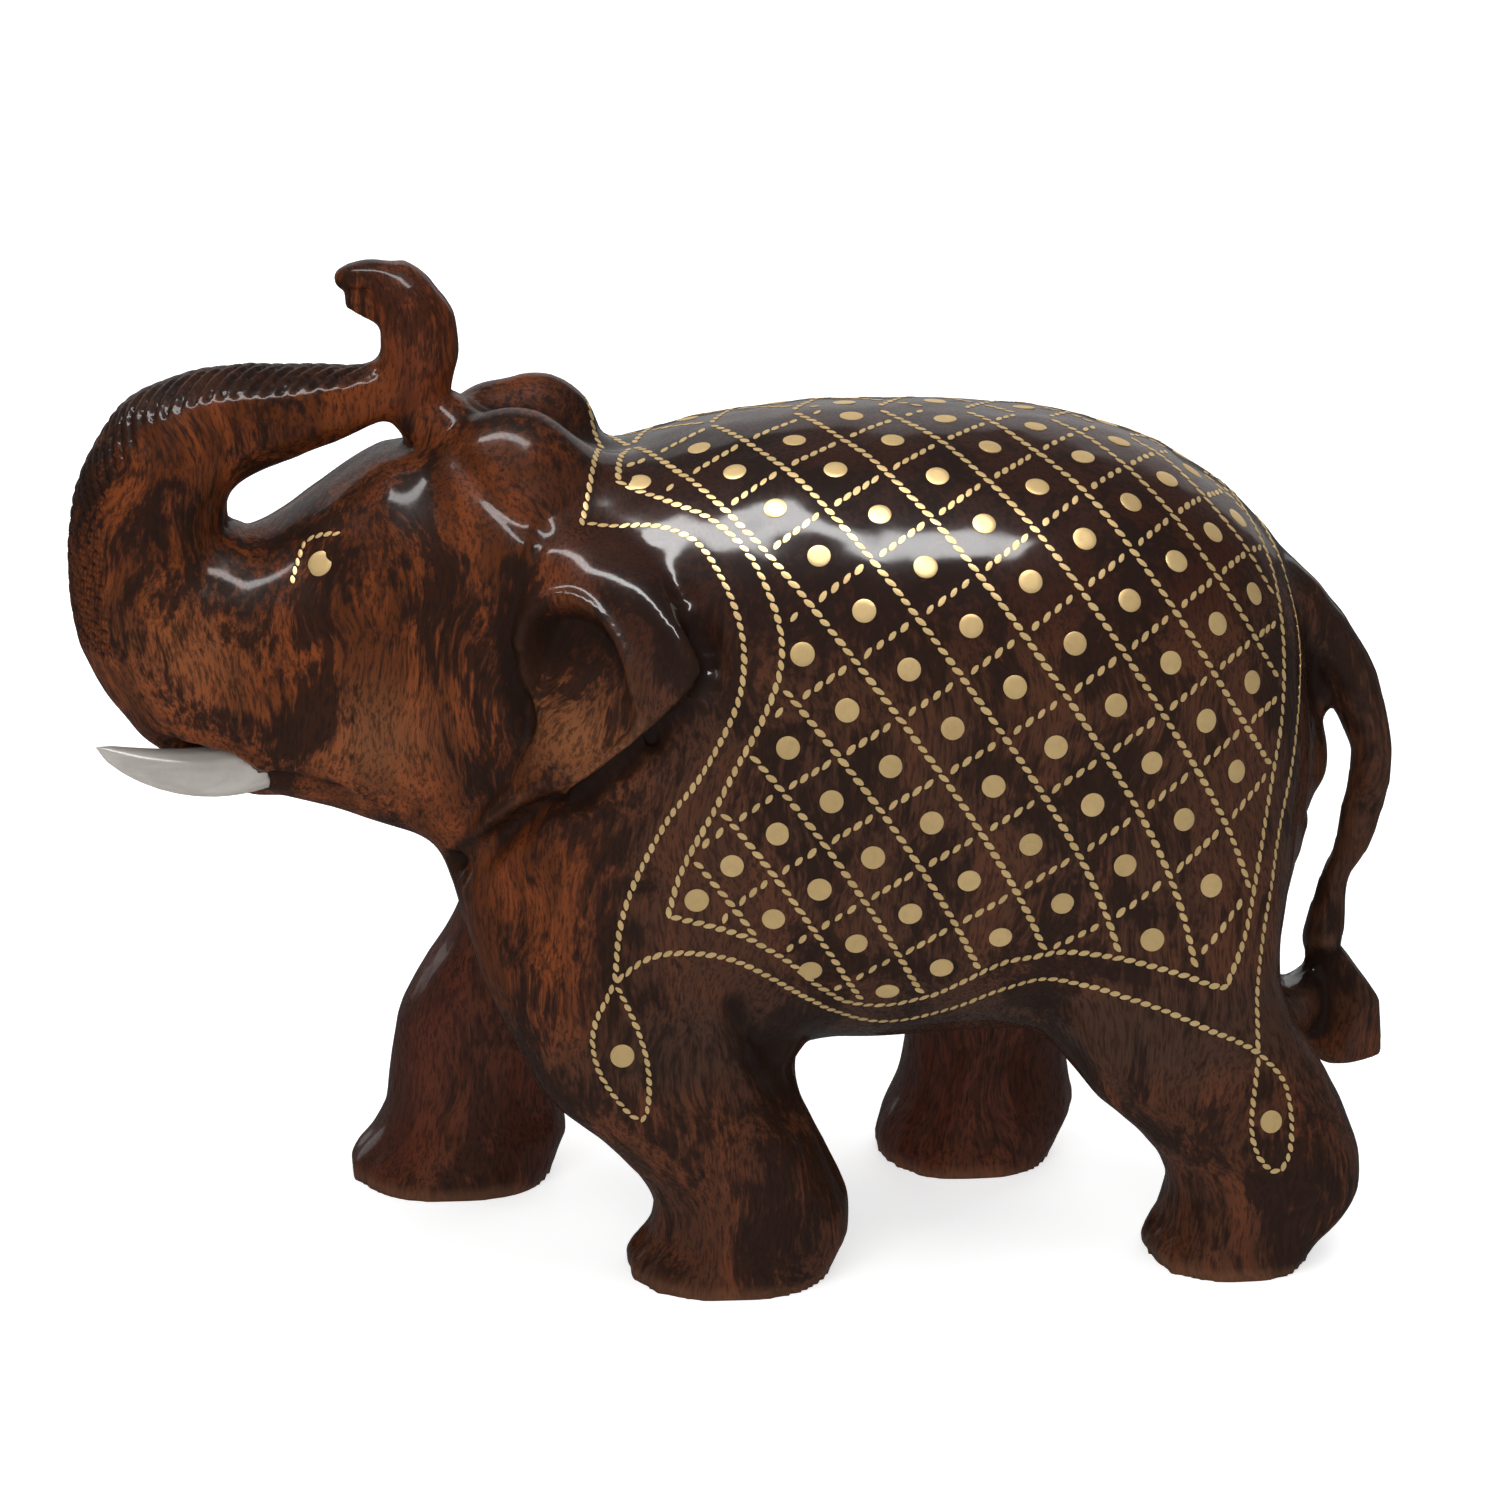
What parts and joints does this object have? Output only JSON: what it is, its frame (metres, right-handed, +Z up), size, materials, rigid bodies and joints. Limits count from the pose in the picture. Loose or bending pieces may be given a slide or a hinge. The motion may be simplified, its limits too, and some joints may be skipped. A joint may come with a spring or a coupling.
{
  "type": "elephant figurine",
  "caption": "Standing carved wooden elephant with raised curled trunk, white tusks and a brass disc and twisted-wire inlay laid like a saddle cloth.",
  "frame": {"origin": "under the middle of the figure's bounding box, in the plane of the four soles", "axes": "+Z up, the head points along -X, the elephant's left side faces -Y"},
  "size_m": [0.2032, 0.089, 0.1531],
  "materials": {
    "wood": "dark mottled brown stain under a high-gloss lacquer",
    "brass": "filed flush, satin, slightly tarnished",
    "tusk": "white resin or bone, polished"
  },
  "bodies": {
    "root": {"brow_wire_left": "brass", "brow_wire_right": "brass", "carved_body": "wood", "cloth_disc_1_left": "brass", "cloth_disc_1_right": "brass", "cloth_disc_2_left": "brass", "cloth_disc_2_right": "brass", "cloth_disc_3_left": "brass", "cloth_disc_3_right": "brass", "cloth_disc_4_left": "brass", "cloth_disc_4_right": "brass", "cloth_disc_5_left": "brass", "cloth_disc_5_right": "brass", "cloth_disc_6_left": "brass", "cloth_disc_6_right": "brass", "cloth_disc_7_left": "brass", "cloth_disc_7_right": "brass", "cloth_disc_8_left": "brass", "cloth_disc_8_right": "brass", "cloth_disc_9_left": "brass", "cloth_disc_9_right": "brass", "eye_disc_left": "brass", "eye_disc_right": "brass", "front_pendant_disc_left": "brass", "front_pendant_disc_right": "brass", "front_pendant_left": "brass", "front_pendant_right": "brass", "inner_border_left": "brass", "inner_border_right": "brass", "lattice_wire_10_left": "brass", "lattice_wire_10_right": "brass", "lattice_wire_11_left": "brass", "lattice_wire_11_right": "brass", "lattice_wire_1_left": "brass", "lattice_wire_1_right": "brass", "lattice_wire_2_left": "brass", "lattice_wire_2_right": "brass", "lattice_wire_3_left": "brass", "lattice_wire_3_right": "brass", "lattice_wire_4_left": "brass", "lattice_wire_4_right": "brass", "lattice_wire_5_left": "brass", "lattice_wire_5_right": "brass", "lattice_wire_6_left": "brass", "lattice_wire_6_right": "brass", "lattice_wire_7_left": "brass", "lattice_wire_7_right": "brass", "lattice_wire_8_left": "brass", "lattice_wire_8_right": "brass", "lattice_wire_9_left": "brass", "lattice_wire_9_right": "brass", "outer_border_left": "brass", "outer_border_right": "brass", "rear_pendant_disc_left": "brass", "rear_pendant_disc_right": "brass", "rear_pendant_left": "brass", "rear_pendant_right": "brass", "tusk_left": "tusk", "tusk_right": "tusk"}
  },
  "joints": []
}
